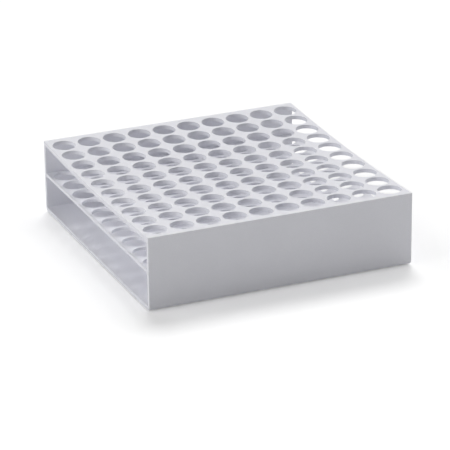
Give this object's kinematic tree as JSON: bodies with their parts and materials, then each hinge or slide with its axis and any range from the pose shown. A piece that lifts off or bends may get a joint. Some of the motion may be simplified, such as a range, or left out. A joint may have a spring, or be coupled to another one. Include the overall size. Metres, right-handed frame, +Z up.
{
  "type": "microcentrifuge tube rack",
  "caption": "Low open-ended plastic sheet rack with a square grid of round tube holes in a drooping top plate and a second drilled plate below it.",
  "frame": {"origin": "on the table under the middle of the base", "axes": "+X along the front wall from one open end to the other, +Y from the front wall to the back wall, +Z up"},
  "size_m": [0.1314, 0.1354, 0.036],
  "materials": {
    "grey_sheet": "satin light grey sheet"
  },
  "bodies": {
    "root": {"outer_shell": "grey_sheet", "middle_plate": "grey_sheet", "top_plate": "grey_sheet"}
  },
  "joints": []
}
